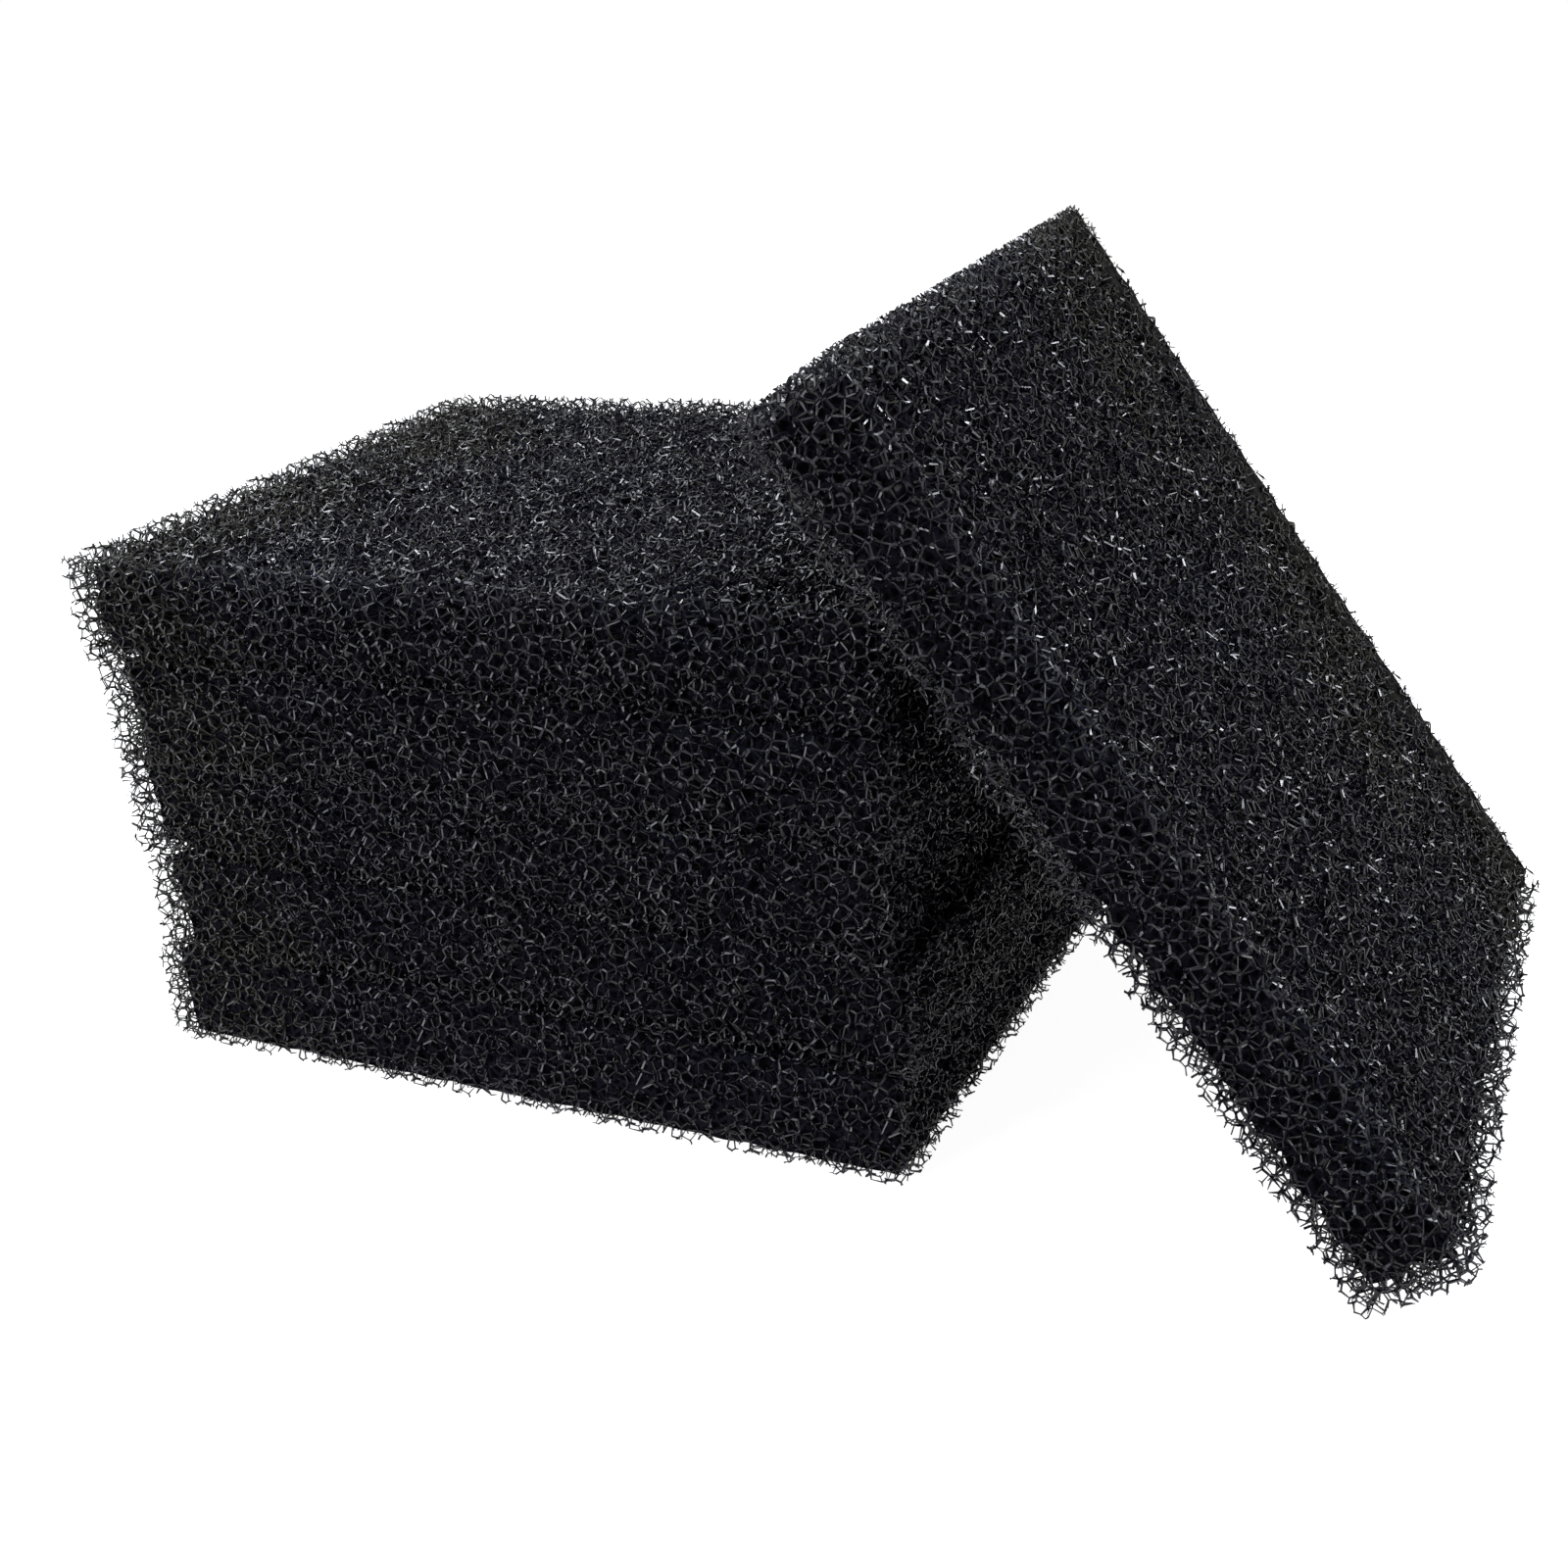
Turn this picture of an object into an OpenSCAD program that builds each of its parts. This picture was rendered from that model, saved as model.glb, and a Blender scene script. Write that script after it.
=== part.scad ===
// Set of six loose filter foam pads: five in a stack and one leaning on the stack's edge.
// The origin is the centre of the bottom pad's underside. The floor is z = 0, +X points
// along the pads' long side towards the leaning pad, and +Y points to the stack's back.

/* [Pad] */
// Long side of every pad
pad_length = 160; // [100:1:250]
// Short side of every pad
pad_width = 130; // [80:1:200]
// Thickness of every pad
pad_thickness = 20; // [10:1:40]

/* [Stack] */
// Clearance between pads that rest on each other
rest_gap = 0.3; // [0.1:0.1:1]
// How far each pad lies to the right of the stack's centre, from the bottom pad up
slip_x = [0, 2, -0.4, 2, -1]; // [-4:0.2:4]
// How far each pad lies behind the stack's centre, from the bottom pad up
slip_y = [0, 0.4, 1, -1, -0.6]; // [-4:0.2:4]
// How far each pad is turned about the vertical, in degrees, from the bottom pad up
turn = [0, 0.5, -0.4, 0.3, 1.2]; // [-3:0.1:3]

/* [Leaning pad] */
// Distance from the stack's right side to the near end of the leaning pad's foot
foot_distance = 76; // [60:1:90]
// How far the near end of the foot stands in front of the stack's front side
foot_forward = 9; // [0:1:30]
// Turn of the leaning pad about the vertical, in degrees
lean_turn = 3.7; // [0:0.1:6]

/* [Hidden] */

// Height from one pad's underside to the next one's
level_step = pad_thickness + rest_gap;
top_level = len(slip_x) - 1;
stack_height = top_level * level_step + pad_thickness;

// Near end of the leaning pad's foot edge, on the floor
foot = [pad_length / 2 + foot_distance, -pad_width / 2 - foot_forward];

// The top pad's right edge, from its front corner to its back corner, seen from above
top_edge = [for (side = [-1, 1]) turned(turn[top_level], [pad_length / 2, side * pad_width / 2])
    + [slip_x[top_level], slip_y[top_level]]];
// How far each end of that edge is from the foot, measured across the foot edge
reach = [for (point = top_edge) turned(-lean_turn, foot - point)[0]];
// The end nearest to the foot carries the leaning pad
nearest = min(reach);
// The slope at which the underside clears that end by the rest gap
lean_angle = atan2(stack_height, nearest) + asin(rest_gap / norm([stack_height, nearest]));

// A flat vector turned about the origin
function turned(angle, v) =
    [v[0] * cos(angle) - v[1] * sin(angle), v[0] * sin(angle) + v[1] * cos(angle)];

// One block of open-cell foam, with its underside's centre at the origin
module foam_block() {
    translate([-pad_length / 2, -pad_width / 2, 0])
        cube([pad_length, pad_width, pad_thickness]);
}

// A pad at its level in the stack, counted from 0 at the bottom
module stacked_pad(level) {
    translate([slip_x[level], slip_y[level], level * level_step])
        rotate([0, 0, turn[level]])
            foam_block();
}

module filter_pad_1() {
    color("#17181b") stacked_pad(0);
}

module filter_pad_2() {
    color("#191a1d") stacked_pad(1);
}

module filter_pad_3() {
    color("#16171a") stacked_pad(2);
}

module filter_pad_4() {
    color("#191a1d") stacked_pad(3);
}

module filter_pad_5() {
    color("#17181b") stacked_pad(4);
}

// The pad that stands on one end edge and leans back over the stack's top right edge
module leaning_pad() {
    color("#1b1c1f")
        translate([foot[0], foot[1], 0])
            rotate([0, 0, lean_turn])
                rotate([0, lean_angle, 0])
                    translate([-pad_length, 0, 0])
                        cube([pad_length, pad_width, pad_thickness]);
}

filter_pad_1();
filter_pad_2();
filter_pad_3();
filter_pad_4();
filter_pad_5();
leaning_pad();
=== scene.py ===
"""Six open-cell foam filter pads: five in a stack and one leaning against it.

Every pad is a real strut network. One block of foam is grown as the Voronoi cells of
relaxed random seeds. Each pad is then cut from endless copies of that block, as a real pad
is cut from a foam bun: struts that cross a face end in a flat cut there. The network is
built through the depth that the eye reaches, round a dark core of painted shade.
Lengths in the foam maths are millimetres, and everything handed to Blender is in metres.
"""

import math
from itertools import combinations

import bpy
import numpy as np
from mathutils import Matrix, Vector
from mathutils.kdtree import KDTree


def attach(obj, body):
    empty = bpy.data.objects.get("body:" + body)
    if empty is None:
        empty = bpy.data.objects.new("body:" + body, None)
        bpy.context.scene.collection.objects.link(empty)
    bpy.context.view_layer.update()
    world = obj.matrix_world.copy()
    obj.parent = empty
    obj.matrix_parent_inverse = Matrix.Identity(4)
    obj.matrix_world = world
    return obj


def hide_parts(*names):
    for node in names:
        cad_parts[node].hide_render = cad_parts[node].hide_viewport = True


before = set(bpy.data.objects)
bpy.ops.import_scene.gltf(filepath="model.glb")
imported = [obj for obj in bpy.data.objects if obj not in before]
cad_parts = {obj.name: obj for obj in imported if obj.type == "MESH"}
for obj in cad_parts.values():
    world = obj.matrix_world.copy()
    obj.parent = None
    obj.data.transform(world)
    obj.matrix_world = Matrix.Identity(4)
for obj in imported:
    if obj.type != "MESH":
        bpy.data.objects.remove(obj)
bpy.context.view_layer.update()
MM = 0.001

# ---------------------------------------------------------------- camera

CAMERA_PLACE = Vector((0.19814, -0.31802, 0.19511))
CAMERA_AZIMUTH = math.radians(28.05)
CAMERA_ELEVATION = math.radians(23.2)
CAMERA_ROLL = math.radians(5.03)
CAMERA_LENS = 45.8


def make_camera():
    """The photographer's view: from the front right, looking down, held slightly tilted."""
    data = bpy.data.cameras.new("camera")
    data.lens = CAMERA_LENS
    data.sensor_width = 36.0
    data.clip_start = 0.01
    camera = bpy.data.objects.new("camera", data)
    bpy.context.scene.collection.objects.link(camera)
    turn = Matrix.Rotation(CAMERA_AZIMUTH, 3, "Z")
    tilt = Matrix.Rotation(math.pi / 2 - CAMERA_ELEVATION, 3, "X")
    roll = Matrix.Rotation(-CAMERA_ROLL, 3, "Z")
    camera.rotation_euler = (turn @ tilt @ roll).to_euler()
    camera.location = CAMERA_PLACE
    bpy.context.scene.camera = camera


# ---------------------------------------------------------------- foam block

CELL = 2.36  # the spacing of the foam's cells
CELLS_PER_SIDE = 20  # of the block that repeats
BLOCK = CELL * CELLS_PER_SIDE
HUB_REACH = 0.19  # from a hub's middle to each of its four corners, for a typical hub
HUB_SPREAD = 0.3  # how much more or less that is from hub to hub, as a natural logarithm
HUB_LIMITS = (0.6, 1.6)  # the smallest and largest hub, as shares of a typical one
RELAX_STEPS = 9
RELAX_NEIGHBOURS = 13  # that push each seed in one step
RELAX_SHARE = 0.42  # of an overlap that one step undoes
SEED_GAP = 1.08 * CELL  # that relaxing aims for
NEAR = 18  # neighbours that can share a corner of a cell
CHECKED = 28  # neighbours that a cell corner is checked against
FARTHEST_CORNER = 1.25 * CELL  # from the seed of a cell to its corners
FLAT = 1e-9  # volume below which four seeds lie in one plane, and give no corner
TOUCHING = 1e-7  # slack in the test that no other seed is nearer to a corner
TRIPLES = np.array(list(combinations(range(NEAR), 3)))
FACE_OF = np.array([[k for k in range(4) if k != j] for j in range(4)])  # hub corners per side
CELL_CODE = 1 << 13  # more than there are cells in the block
SHIFT_CODE = np.array([1, 5, 25])  # numbers the shifts of -2 to 2 blocks along each axis
SHIFT_CODES = 125


def with_copies(seeds, margin):
    """The seeds and their periodic copies within a margin of the block: places, ids, shifts."""
    places, ids, shifts = [], [], []
    for shift in np.ndindex(3, 3, 3):
        step = np.array(shift) - 1
        moved = seeds + step * BLOCK
        inside = np.all((moved > -margin) & (moved < BLOCK + margin), axis=1)
        places.append(moved[inside])
        ids.append(np.flatnonzero(inside))
        shifts.append(np.repeat(step[None], inside.sum(), axis=0))
    return np.concatenate(places), np.concatenate(ids), np.concatenate(shifts)


def nearest(seeds, count, margin):
    """For each seed, the vectors to its nearest neighbours, and their ids and shifts."""
    places, ids, shifts = with_copies(seeds, margin)
    tree = KDTree(len(places))
    for i, place in enumerate(places.tolist()):
        tree.insert(place, i)
    tree.balance()
    found = np.array([[hit[1] for hit in tree.find_n(p, count + 1)[1:]] for p in seeds.tolist()])
    return places[found] - seeds[:, None], ids[found], shifts[found]


def relaxed_seeds(rng):
    """Random seeds pushed apart until their cells are much the same size."""
    seeds = rng.random((CELLS_PER_SIDE**3, 3)) * BLOCK
    for _ in range(RELAX_STEPS):
        away, _ids, _shifts = nearest(seeds, RELAX_NEIGHBOURS, 2.2 * CELL)
        gap = np.linalg.norm(away, axis=2, keepdims=True)
        push = np.clip(SEED_GAP - gap, 0, None) * away / np.maximum(gap, 1e-6)
        seeds = (seeds - RELAX_SHARE * push.sum(axis=1)) % BLOCK
    return seeds


def cell_corners(seeds):
    """The corners of the Voronoi cells, each with the four cells that meet there."""
    away, ids, shifts = nearest(seeds, CHECKED, 3.2 * CELL)
    size2 = (away**2).sum(axis=2)
    places, cells, steps = [], [], []
    for i in range(len(seeds)):
        a, b, c = (away[i, TRIPLES[:, k]] for k in range(3))
        a2, b2, c2 = (size2[i, TRIPLES[:, k]][:, None] for k in range(3))
        bc = np.cross(b, c)
        volume = (a * bc).sum(axis=1, keepdims=True)
        flat = np.abs(volume) < FLAT
        volume = np.where(flat, 1.0, volume)
        centre = (a2 * bc + b2 * np.cross(c, a) + c2 * np.cross(a, b)) / (2 * volume)
        own = ids[i, TRIPLES].min(axis=1) > i
        close = (centre**2).sum(axis=1) < FARTHEST_CORNER**2
        rows = np.flatnonzero(own & close & ~flat[:, 0])
        if not len(rows):
            continue
        empty = np.all(size2[i] - 2 * centre[rows] @ away[i].T > -TOUCHING, axis=1)
        rows = rows[empty]
        places.append(seeds[i] + centre[rows])
        four = np.concatenate([np.full((len(rows), 1), i), ids[i, TRIPLES[rows]]], axis=1)
        move = np.concatenate([np.zeros((len(rows), 1, 3), int), shifts[i, TRIPLES[rows]]], axis=1)
        order = np.argsort(four, axis=1)
        cells.append(np.take_along_axis(four, order, axis=1))
        steps.append(np.take_along_axis(move, order[:, :, None], axis=1))
    return np.concatenate(places), np.concatenate(cells), np.concatenate(steps)


def grow_foam(rng):
    """One periodic block of foam: its hubs, where struts meet, the struts and a few films.

    A hub is a small tetrahedron. Two hubs that share three cells have a strut between them.
    """
    seeds = relaxed_seeds(rng)
    hubs, cells, steps = cell_corners(seeds)
    toward = seeds[cells] + steps * BLOCK - hubs[:, None]
    toward /= np.linalg.norm(toward, axis=2, keepdims=True)
    spread = np.clip(rng.lognormal(0.0, HUB_SPREAD, (len(hubs), 1, 1)), *HUB_LIMITS)
    reach = HUB_REACH * spread
    corners = hubs[:, None] + toward * reach

    faces = corners[:, FACE_OF]
    normal = np.cross(faces[:, :, 1] - faces[:, :, 0], faces[:, :, 2] - faces[:, :, 0])
    inward = ((corners - faces[:, :, 0]) * normal).sum(axis=2) > 0

    three = cells[:, FACE_OF]
    moves = steps[:, FACE_OF]
    home = moves[:, :, 0]
    key = (three * np.array([1, CELL_CODE, CELL_CODE**2])).sum(axis=2).astype(np.int64)
    for k in (1, 2):
        key = key * SHIFT_CODES + ((moves[:, :, k] - home + 2) * SHIFT_CODE).sum(axis=2)
    flat = key.ravel()
    order = np.argsort(flat, kind="stable")
    same = np.flatnonzero(flat[order][1:] == flat[order][:-1])
    first, second = order[same], order[same + 1]
    home = home.reshape(-1, 3)
    struts = {
        "a": first // 4,
        "side_a": first % 4,
        "b": second // 4,
        "side_b": second % 4,
        "step": home[first] - home[second],
    }
    films = chosen_films(seeds, hubs, cells, steps, rng)
    return {"hubs": hubs, "corners": corners, "inward": inward, "struts": struts, "films": films}


FILM_SHARE = 0.02  # of the cells' windows that are still closed by a film
FILM_BULGE = 0.12  # how far a film's middle stands out on either side


def chosen_films(seeds, hubs, cells, steps, rng):
    """Closed films over a few of the windows between two cells, each as a thin closed lens."""
    pairs = np.array(list(combinations(range(4), 2)))
    one, two = cells[:, pairs[:, 0]], cells[:, pairs[:, 1]]
    home = steps[:, pairs[:, 0]]
    apart = steps[:, pairs[:, 1]] - home
    cell_pair = one * CELL_CODE + two
    key = (cell_pair * SHIFT_CODES + ((apart + 2) * SHIFT_CODE).sum(axis=2)).ravel()
    order = np.argsort(key, kind="stable")
    starts = np.flatnonzero(np.diff(key[order], prepend=-1))
    films = []
    for group in np.split(order, starts[1:]):
        if len(group) < 3 or rng.random() > FILM_SHARE:
            continue
        hub, pair = group // 6, group % 6
        ring = hubs[hub] - home[hub, pair] * BLOCK
        middle = ring.mean(axis=0)
        a, b = one[hub[0], pair[0]], two[hub[0], pair[0]]
        normal = seeds[b] + apart[hub[0], pair[0]] * BLOCK - seeds[a]
        normal = normal / np.linalg.norm(normal)
        across = np.cross(normal, ring[0] - middle)
        angle = np.arctan2((ring - middle) @ across, (ring - middle) @ np.cross(across, normal))
        ring = ring[np.argsort(angle)]
        poles = [middle + normal * FILM_BULGE, middle - normal * FILM_BULGE]
        around = np.arange(len(ring))
        following = np.roll(around, -1)
        up = np.stack([around, following, np.full(len(ring), len(ring))], axis=1)
        down = np.stack([following, around, np.full(len(ring), len(ring) + 1)], axis=1)
        films.append((np.concatenate([ring, poles]), np.concatenate([up, down])))
    return films


# ---------------------------------------------------------------- cutting a pad

EDGE_DEPTH = 3.7  # of the network behind the pads' narrow side faces
OPEN_DEPTH = 3.0  # behind a large face that can be seen
HIDDEN_DEPTH = 1.3  # behind a large face that lies on another pad
BASE_DEPTH = 2.6  # behind the bottom pad's front and right faces, which look denser
CLOSED_DEPTH = 0.7  # behind a face with a crisp, opaque outline
SHORTEST_STUB = 0.12  # share of a strut that has to be left by a cut
OVERSHOOT = 0.06  # share of a strut that goes past the cut before it is pressed flat


def copies_in(foam, size, offset):
    """The struts of the endless foam that have an end in the pad, as hub numbers and places."""
    s = foam["struts"]
    low = np.floor(offset / BLOCK).astype(int) - 1
    high = np.floor((offset + size) / BLOCK).astype(int) + 1
    span = high - low + 3
    weight = np.array([span[1] * span[2], span[2], 1])
    a_place = foam["hubs"][s["a"]]
    b_place = foam["hubs"][s["b"]] + s["step"] * BLOCK
    found = []
    for index in np.ndindex(*(high - low + 1)):
        tile = low + np.array(index)
        move = tile * BLOCK - offset
        a_in = np.all((a_place + move > 0) & (a_place + move < size), axis=1)
        b_in = np.all((b_place + move > 0) & (b_place + move < size), axis=1)
        rows = np.flatnonzero(a_in | b_in)
        if not len(rows):
            continue
        a_tile = np.repeat((tile - low + 1)[None], len(rows), axis=0)
        b_tile = a_tile + s["step"][rows]
        forward = a_in[rows]
        both = a_in[rows] & b_in[rows]
        found.append((rows, a_tile, b_tile, forward, both))
    rows, a_tile, b_tile, forward, both = (np.concatenate(part) for part in zip(*found))
    a_end = {"hub": s["a"][rows], "side": s["side_a"][rows], "tile": a_tile}
    b_end = {"hub": s["b"][rows], "side": s["side_b"][rows], "tile": b_tile}
    near, far = {}, {}
    for key in a_end:
        a_first = forward if a_end[key].ndim == 1 else forward[:, None]
        near[key] = np.where(a_first, a_end[key], b_end[key])
        far[key] = np.where(a_first, b_end[key], a_end[key])
    hub_count = len(foam["hubs"])
    for end in (near, far):
        end["move"] = (end["tile"] - 1 + low) * BLOCK - offset
        end["place"] = foam["hubs"][end["hub"]] + end["move"]
        end["number"] = (end["tile"] * weight).sum(axis=1) * hub_count + end["hub"]
    return near, far, both


def cut_pad(foam, size, depths, offset):
    """The struts of one pad's shell, in the pad's own frame."""
    near, far, whole = copies_in(foam, size, offset)
    middle = np.clip((near["place"] + far["place"]) / 2, 0, size)
    low_depth, high_depth = depths
    shell = np.any((middle < low_depth) | (size - middle < high_depth), axis=1)
    along = far["place"] - near["place"]
    limit = np.where(along > 0, size, 0.0)
    with np.errstate(divide="ignore", invalid="ignore"):
        share = np.where(np.abs(along) > 1e-9, (limit - near["place"]) / along, 9.0)
    share = np.where(whole, 1.0, share.min(axis=1))
    keep = shell & (share > SHORTEST_STUB)
    near = {k: v[keep] for k, v in near.items()}
    far = {k: v[keep] for k, v in far.items()}
    return near, far, whole[keep], share[keep], middle[keep]


def strut_mesh(foam, size, near, far, whole, share):
    """Points, quads, hub caps and cut ends of closed three-sided struts joined at their hubs."""
    flip = foam["inward"][near["hub"], near["side"]]
    turn = np.where(flip[:, None], [0, 2, 1], [0, 1, 2])
    near_corner = np.take_along_axis(FACE_OF[near["side"]], turn, axis=1)
    far_corner = np.take_along_axis(FACE_OF[far["side"]], turn, axis=1)

    numbers = np.concatenate([near["number"], far["number"][whole]])
    used, first, inverse = np.unique(numbers, return_index=True, return_inverse=True)
    hub_of = np.concatenate([near["hub"], far["hub"][whole]])[first]
    move_of = np.concatenate([near["move"], far["move"][whole]])[first]
    hub_points = (foam["corners"][hub_of] + move_of[:, None]).reshape(-1, 3)
    near_index = inverse[: len(near["hub"])][:, None] * 4 + near_corner

    far_index = np.zeros_like(near_index)
    far_index[whole] = inverse[len(near["hub"]) :][:, None] * 4 + far_corner[whole]
    cut = np.flatnonzero(~whole)
    near_points = hub_points[near_index[cut]]
    far_points = foam["corners"][far["hub"][cut][:, None], far_corner[cut]]
    far_points = far_points + far["move"][cut][:, None]
    left = np.minimum(share[cut] + OVERSHOOT, 1.0)[:, None, None]
    cut_points = (near_points + (far_points - near_points) * left).reshape(-1, 3)
    far_index[cut] = len(hub_points) + np.arange(len(cut) * 3).reshape(-1, 3)
    points = np.clip(np.concatenate([hub_points, cut_points]), 0, size)

    following = [1, 2, 0]
    quads = np.stack(
        [near_index, near_index[:, following], far_index[:, following], far_index], axis=2
    ).reshape(-1, 4)

    taken = np.zeros((len(used), 4), bool)
    taken[inverse[: len(near["hub"])], near["side"]] = True
    taken[inverse[len(near["hub"]) :], far["side"][whole]] = True
    bare_hub, bare_side = np.nonzero(~taken)
    caps = FACE_OF[bare_side]
    turned = foam["inward"][hub_of[bare_hub], bare_side]
    caps = np.where(turned[:, None], caps[:, [0, 2, 1]], caps) + bare_hub[:, None] * 4
    return points, quads, caps, far_index[cut]


def pad_films(foam, size, depths, offset):
    """Points and triangles of the films that lie wholly in one pad's shell.

    Near an edge of the pad the foam can be seen through, so there it stays free of films.
    """
    low = np.floor(offset / BLOCK).astype(int) - 1
    high = np.floor((offset + size) / BLOCK).astype(int) + 1
    moves = (np.stack(list(np.ndindex(*(high - low + 1)))) + low) * BLOCK - offset
    low_depth, high_depth = depths
    points, triangles, used = [], [], 0
    for shape, faces in foam["films"]:
        placed = shape + moves[:, None]
        inside = np.all((placed > 0) & (placed < size), axis=(1, 2))
        middle = placed[:, -1]
        faces_near = ((middle < low_depth) | (size - middle < high_depth)).sum(axis=1)
        placed = placed[inside & (faces_near == 1)]
        shift = used + np.arange(len(placed)) * len(shape)
        points.append(placed.reshape(-1, 3))
        triangles.append((faces + shift[:, None, None]).reshape(-1, 3))
        used += len(placed) * len(shape)
    return np.concatenate(points), np.concatenate(triangles)


def fill_mesh(name, points, quads, triangles, quad_material, smooth):
    """A Blender mesh from numpy arrays."""
    mesh = bpy.data.meshes.new(name)
    corners = np.concatenate([quads.ravel(), triangles.ravel()])
    starts = np.concatenate(
        [np.arange(len(quads)) * 4, len(quads) * 4 + np.arange(len(triangles)) * 3]
    )
    mesh.vertices.add(len(points))
    mesh.vertices.foreach_set("co", points.ravel().astype(np.float32))
    mesh.loops.add(len(corners))
    mesh.loops.foreach_set("vertex_index", corners.astype(np.int32))
    mesh.polygons.add(len(starts))
    mesh.polygons.foreach_set("loop_start", starts.astype(np.int32))
    mesh.polygons.foreach_set("use_smooth", np.full(len(starts), smooth))
    material = np.zeros(len(starts), np.int32)
    material[: len(quads)] = quad_material
    mesh.polygons.foreach_set("material_index", material)
    mesh.update(calc_edges=True)
    mesh.validate()
    return mesh


# ---------------------------------------------------------------- pads

MOST_STRUTS = 30000  # in one piece
TINTS = 5
PATCH_SHARE = 0.6  # how much of a strut's tint its patch decides; the rest is scatter
# The olive tint is lighter than the rest. Near those edges it is partly the foam's olive patches
# and partly painted light.
OLIVE_REACH = 45.0  # how far the olive tint comes in from an edge
OLIVE_WAVE = 0.35  # how much the patches make its border wander
OLIVE_SHARES = (0.05, 0.8)  # of the struts: far from that edge, and next to it
SETTLING = 0.14  # of each face that touches another pad in the stack
SETTLES = {"filter_pad_1": (0, SETTLING), "filter_pad_5": (SETTLING, 0), "leaning_pad": (0, 0)}


def pad_frame(node):
    """A pad's low corner, its unit axes (long, short, thick) and its size, from its CAD node.

    Soft foam settles into the foam it lies on, so stacked pads meet halfway across their gaps.
    """
    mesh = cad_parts[node].data
    corners = np.unique(np.round([v.co[:] for v in mesh.vertices], 7), axis=0) / MM
    for corner in corners:
        others = corners[np.argsort(np.linalg.norm(corners - corner, axis=1))]
        thick, short, long = (others[k] - corner for k in (1, 2, 4))
        if thick[2] > 0 and long[0] > 0 and np.dot(np.cross(long, short), thick) > 0:
            size = np.array([np.linalg.norm(v) for v in (long, short, thick)])
            axes = np.array([long, short, thick]) / size[:, None]
            below, above = SETTLES.get(node, (SETTLING, SETTLING))
            return corner - below * axes[2], axes, size + np.array([0, 0, below + above])
    raise ValueError(f"{node} isn't an upright block")


def tint_of(middle, size, leaning, rng):
    """Which tint each strut has: soft patches, with a little scatter from strut to strut.

    The patches come from waves 30 to 100 mm long. The last tint, a lighter olive, gathers at the
    stack's left end and along the leaning pad's far edge: there it is partly the foam's own
    olive patches and partly painted light.
    """
    x, y, z = middle.T
    patches = np.sin(x * 0.083 + 1.3 * np.sin(y * 0.061)) + np.sin(y * 0.097 + z * 0.21 + 0.7)
    scatter = rng.random(len(middle)) * (1 - PATCH_SHARE)
    value = (patches / 4 + 0.5) * PATCH_SHARE + scatter
    tint = np.clip((value * (TINTS - 1)).astype(int), 0, TINTS - 2)
    from_edge = size[1] - y if leaning else x
    # Painted light, as well as the olive patches: more of the lighter olive tint toward the stack's
    # left end and the leaning pad's far edge.
    olive = np.clip(1 - from_edge / OLIVE_REACH + OLIVE_WAVE * patches, *OLIVE_SHARES)
    return np.where(rng.random(len(middle)) < olive, TINTS - 1, tint)


def add_piece(name, mesh, node, materials):
    """A piece that stands for one pad's CAD block and moves with it."""
    for material in materials:
        mesh.materials.append(material)
    piece = bpy.data.objects.new(name, mesh)
    bpy.context.scene.collection.objects.link(piece)
    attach(piece, node)
    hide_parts(node)
    return piece


def make_struts(node, foam, low, high, roll, rng, materials, film):
    """One pad's strut network, in as many pieces as its size asks for, and its closed films."""
    corner, axes, size = pad_frame(node)
    turned = np.roll(size, roll)
    depths = (np.roll(low, roll), np.roll(high, roll))
    offset = rng.random(3) * BLOCK
    near, far, whole, share, middle = cut_pad(foam, turned, depths, offset)
    tint = tint_of(np.roll(middle, -roll, axis=1), size, node == "leaning_pad", rng)
    rank = np.argsort(np.argsort(middle[:, roll % 3]))
    count = math.ceil(len(rank) / MOST_STRUTS)
    part = rank * count // len(rank)
    for k in range(count):
        rows = part == k
        some_near = {key: value[rows] for key, value in near.items()}
        some_far = {key: value[rows] for key, value in far.items()}
        points, quads, caps, ends = strut_mesh(
            foam, turned, some_near, some_far, whole[rows], share[rows]
        )
        points = np.roll(points, -roll, axis=1) @ axes + corner
        mesh = fill_mesh(
            f"{node}_struts_{k + 1}",
            points * MM,
            quads,
            np.concatenate([caps, ends]),
            np.repeat(tint[rows], 3),
            False,
        )
        add_piece(mesh.name, mesh, node, materials)
    points, triangles = pad_films(foam, turned, depths, offset)
    points = np.roll(points, -roll, axis=1) @ axes + corner
    mesh = fill_mesh(
        f"{node}_films", points * MM, np.zeros((0, 4), int), triangles, 0, True
    )
    add_piece(mesh.name, mesh, node, [film])


CORE_STEP = 2.4  # between the points of a core's surface
CORE_LUMP = 0.8  # how far its surface goes up and down
FLAT_LUMP = 0.15  # the same, where the foam's outline is straight
LUMP_INWARD = 0.2  # how far a lump's middle lies inward, as a share of it
# Waves finer than the step, in radians per millimetre, so that each point goes its own way.
LUMP_WAVES = np.array([[2.1, 0.7, 1.1], [0.9, 1.9, -1.3], [-1.2, 0.8, 2.3]])


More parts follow.
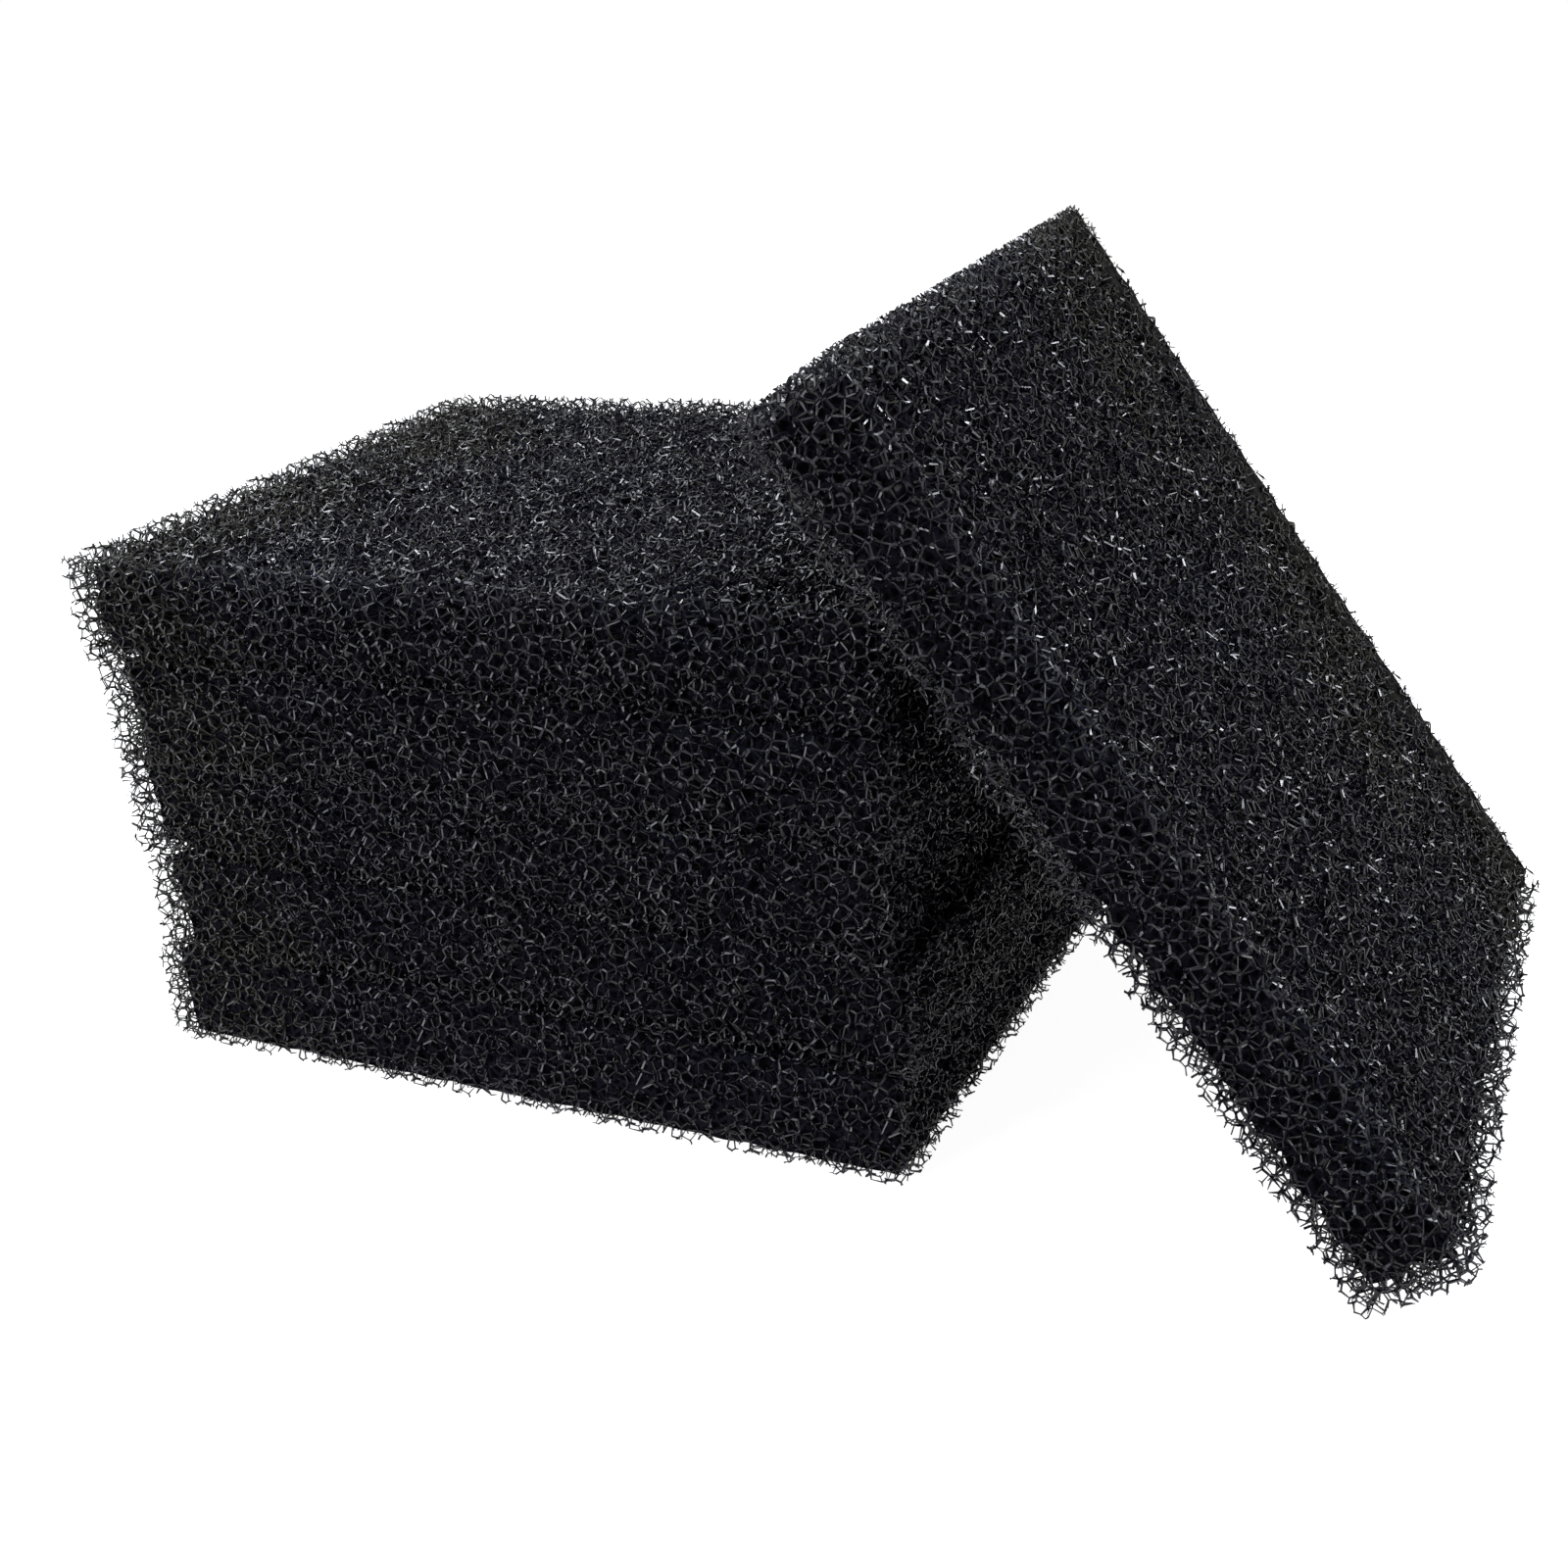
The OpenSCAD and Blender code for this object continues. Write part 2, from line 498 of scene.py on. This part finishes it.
def make_core(name, node, low, high, lump, material):
    """A dark, lumpy mass inside a pad, for the foam too deep to be seen strut by strut; its
    material paints that foam's shade and its lit struts.

    It starts at the depths low and high behind the pad's low and high faces.
    """
    corner, axes, size = pad_frame(node)
    inner = size - low - high
    counts = np.maximum(np.round(inner / CORE_STEP).astype(int), 1)
    numbers, points, quads = {}, [], []

    def point(i, j, k):
        if (i, j, k) not in numbers:
            numbers[i, j, k] = len(points)
            points.append(low + inner * np.array([i, j, k]) / counts)
        return numbers[i, j, k]

    for axis in range(3):
        u, v = (axis + 1) % 3, (axis + 2) % 3
        for side in (0, 1):
            for i, j in np.ndindex(counts[u], counts[v]):
                quad = []
                for di, dj in ((0, 0), (1, 0), (1, 1), (0, 1)):
                    place = [0, 0, 0]
                    place[axis], place[u], place[v] = side * counts[axis], i + di, j + dj
                    quad.append(point(*place))
                quads.append(quad if side else quad[::-1])
    points = np.array(points)
    wave = np.roll(np.sin(points @ LUMP_WAVES), 1, axis=1)
    points = points + lump * (wave + LUMP_INWARD) * np.sign(size / 2 - points)
    mesh = fill_mesh(
        name, (points @ axes + corner) * MM, np.array(quads), np.zeros((0, 3), int), 0, True
    )
    return add_piece(mesh.name, mesh, node, [material])


# ---------------------------------------------------------------- materials

STRUT_SPECULAR = 0.31
# The net is a painted highlight on the struts that catch light; the rest of a core is painted
# shade.
NET_HALF_WIDTH = (0.04, 0.2)  # where the net's colour starts and stops to fade, in cells


def strut_material(name, colour, roughness):
    """Bare polyurethane: near black, with a soft gloss."""
    material = bpy.data.materials.new(name)
    material.use_nodes = True
    shader = material.node_tree.nodes["Principled BSDF"]
    shader.inputs["Base Color"].default_value = (*colour, 1)
    shader.inputs["Roughness"].default_value = roughness
    shader.inputs["Specular IOR Level"].default_value = STRUT_SPECULAR
    return material


def core_material(name, net, between):
    """The foam's depth: black painted shade, with a faint net of painted highlights for the struts
    that still catch light.
    """
    material = bpy.data.materials.new(name)
    material.use_nodes = True
    tree = material.node_tree
    shader = tree.nodes["Principled BSDF"]
    shader.inputs["Roughness"].default_value = 0.9
    shader.inputs["Specular IOR Level"].default_value = 0.0
    place = tree.nodes.new("ShaderNodeTexCoord")
    cells = tree.nodes.new("ShaderNodeTexVoronoi")
    cells.feature = "DISTANCE_TO_EDGE"
    cells.inputs["Scale"].default_value = 1 / (CELL * MM)
    ramp = tree.nodes.new("ShaderNodeValToRGB")
    stops = ramp.color_ramp.elements
    for stop, position, colour in zip(stops, NET_HALF_WIDTH, (net, between)):
        stop.position = position
        stop.color = (*colour, 1)
    tree.links.new(place.outputs["Object"], cells.inputs["Vector"])
    tree.links.new(cells.outputs["Distance"], ramp.inputs["Fac"])
    tree.links.new(ramp.outputs["Color"], shader.inputs["Base Color"])
    return material


# ---------------------------------------------------------------- studio

FLOOR_GLOW = 0.95  # keeps the floor as white as the room where no lamp reaches it
FLOOR_GREY = 0.25
FLOOR_HALF = 0.8
FLOOR_DROP = 0.0005  # below the bottom pad
LAMP_COLOUR = (0.92, 0.945, 1.0)
LAMP_AIM = (0.02, 0.0, 0.05)
# Each lamp's name, place, side length and power.
LAMPS = [
    ("key", (0.5, 0.15, 0.9), 0.2, 16.5),
    ("left", (-0.7, 0.1, 0.7), 0.3, 9),
    ("front", (-0.55, -0.65, 0.55), 0.8, 17),
]
ROOM_STRENGTH = 1.03
# How high the room is white and from where it is dim: 0 is straight down, 1 straight up.
ROOM = [(0.42, (1.0, 1.0, 1.0, 1)), (0.58, (0.03, 0.032, 0.04, 1))]


def make_floor():
    """A white light table, which leaves only faint shadows."""
    material = bpy.data.materials.new("floor")
    material.use_nodes = True
    shader = material.node_tree.nodes["Principled BSDF"]
    shader.inputs["Base Color"].default_value = (FLOOR_GREY, FLOOR_GREY, FLOOR_GREY, 1)
    shader.inputs["Roughness"].default_value = 0.9
    shader.inputs["Emission Color"].default_value = (1, 1, 1, 1)
    shader.inputs["Emission Strength"].default_value = FLOOR_GLOW
    mesh = bpy.data.meshes.new("floor")
    corners = [(x * FLOOR_HALF, y * FLOOR_HALF, 0) for x, y in ((-1, -1), (1, -1), (1, 1), (-1, 1))]
    mesh.from_pydata(corners, [], [(0, 1, 2, 3)])
    mesh.materials.append(material)
    floor = bpy.data.objects.new("floor", mesh)
    bpy.context.scene.collection.objects.link(floor)
    floor.location.z = -FLOOR_DROP


def add_lamp(name, place, size, power):
    """A square area light, turned to the pads."""
    data = bpy.data.lights.new(name, "AREA")
    data.color = LAMP_COLOUR
    data.size = size
    data.energy = power
    light = bpy.data.objects.new(name, data)
    bpy.context.scene.collection.objects.link(light)
    light.location = place
    toward = Vector(LAMP_AIM) - Vector(place)
    light.rotation_euler = toward.to_track_quat("-Z", "Y").to_euler()


def make_lights():
    """A room that is white low down and dim overhead, with three lamps."""
    world = bpy.data.worlds.new("studio")
    world.use_nodes = True
    tree = world.node_tree
    background = tree.nodes["Background"]
    place = tree.nodes.new("ShaderNodeTexCoord")
    parts = tree.nodes.new("ShaderNodeSeparateXYZ")
    ramp = tree.nodes.new("ShaderNodeValToRGB")
    for stop, (position, colour) in zip(ramp.color_ramp.elements, ROOM):
        stop.position = position
        stop.color = colour
    tree.links.new(place.outputs["Generated"], parts.inputs["Vector"])
    tree.links.new(parts.outputs["Z"], ramp.inputs["Fac"])
    tree.links.new(ramp.outputs["Color"], background.inputs["Color"])
    background.inputs["Strength"].default_value = ROOM_STRENGTH
    bpy.context.scene.world = world
    for lamp in LAMPS:
        add_lamp(*lamp)
    bpy.context.scene.view_settings.view_transform = "Standard"


# ---------------------------------------------------------------- assembly

# How deep the network goes behind each pad's low faces (left, front, under) and behind its
# high ones (right, back, top). The leaning pad's left end is up and its right end is its foot.
DEPTHS = {
    "filter_pad_1": (
        [EDGE_DEPTH, BASE_DEPTH, CLOSED_DEPTH],
        [BASE_DEPTH, EDGE_DEPTH, HIDDEN_DEPTH],
    ),
    "filter_pad_5": (
        [EDGE_DEPTH, EDGE_DEPTH, HIDDEN_DEPTH],
        [EDGE_DEPTH, EDGE_DEPTH, OPEN_DEPTH],
    ),
    "leaning_pad": (
        [EDGE_DEPTH, EDGE_DEPTH, OPEN_DEPTH],
        [EDGE_DEPTH, CLOSED_DEPTH, OPEN_DEPTH],
    ),
}
OTHER_DEPTHS = (
    [EDGE_DEPTH, EDGE_DEPTH, HIDDEN_DEPTH],
    [EDGE_DEPTH, EDGE_DEPTH, HIDDEN_DEPTH],
)
RIM_DEPTHS = ([1.0, 122.0, OPEN_DEPTH], [EDGE_DEPTH, 0.5, 0.9])  # the leaning pad's far edge

make_camera()
foam = grow_foam(np.random.default_rng(7))
tints = [
    strut_material("foam_struts_bluish", (0.0025, 0.0025, 0.0076), 0.32),
    strut_material("foam_struts_dark", (0.0014, 0.0013, 0.0036), 0.35),
    strut_material("foam_struts_plain", (0.0028, 0.0025, 0.0060), 0.32),
    strut_material("foam_struts_worn", (0.0039, 0.0036, 0.0067), 0.37),
    # Olive is partly painted light, where tint_of gathers it at the edges.
    strut_material("foam_struts_olive_painted_light", (0.0056, 0.0053, 0.0028), 0.39),
]
film = strut_material("foam_films", (0.0042, 0.0039, 0.0064), 0.3)
# Painted shade with a net of painted highlights, for the foam too deep to be seen.
depth = core_material("foam_depth_painted_light_and_shade", (0.0068, 0.0064, 0.0096), (0.0016, 0.0015, 0.0023))
# A lighter net and fill for the leaning pad's far edge: painted light on the struts seen edge-on
# there.
dense = core_material("foam_dense_edge_painted_light", (0.0120, 0.0114, 0.0104), (0.0052, 0.0050, 0.0050))
for number, node in enumerate(sorted(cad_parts)):
    pad_rng = np.random.default_rng(100 + number)
    low, high = (np.array(depths) for depths in DEPTHS.get(node, OTHER_DEPTHS))
    make_struts(node, foam, low, high, number % 3, pad_rng, tints, film)
    lump = FLAT_LUMP if node == "filter_pad_1" else CORE_LUMP
    # Each pad's core carries the painted shade of its deep foam.
    core = make_core(f"{node}_core", node, low, high, lump, depth)
low, high = (np.array(depths) for depths in RIM_DEPTHS)
# The far edge's rim, painted with the lighter painted light of the dense edge.
make_core("leaning_pad_rim", "leaning_pad", low, high, FLAT_LUMP, dense)
make_floor()
make_lights()
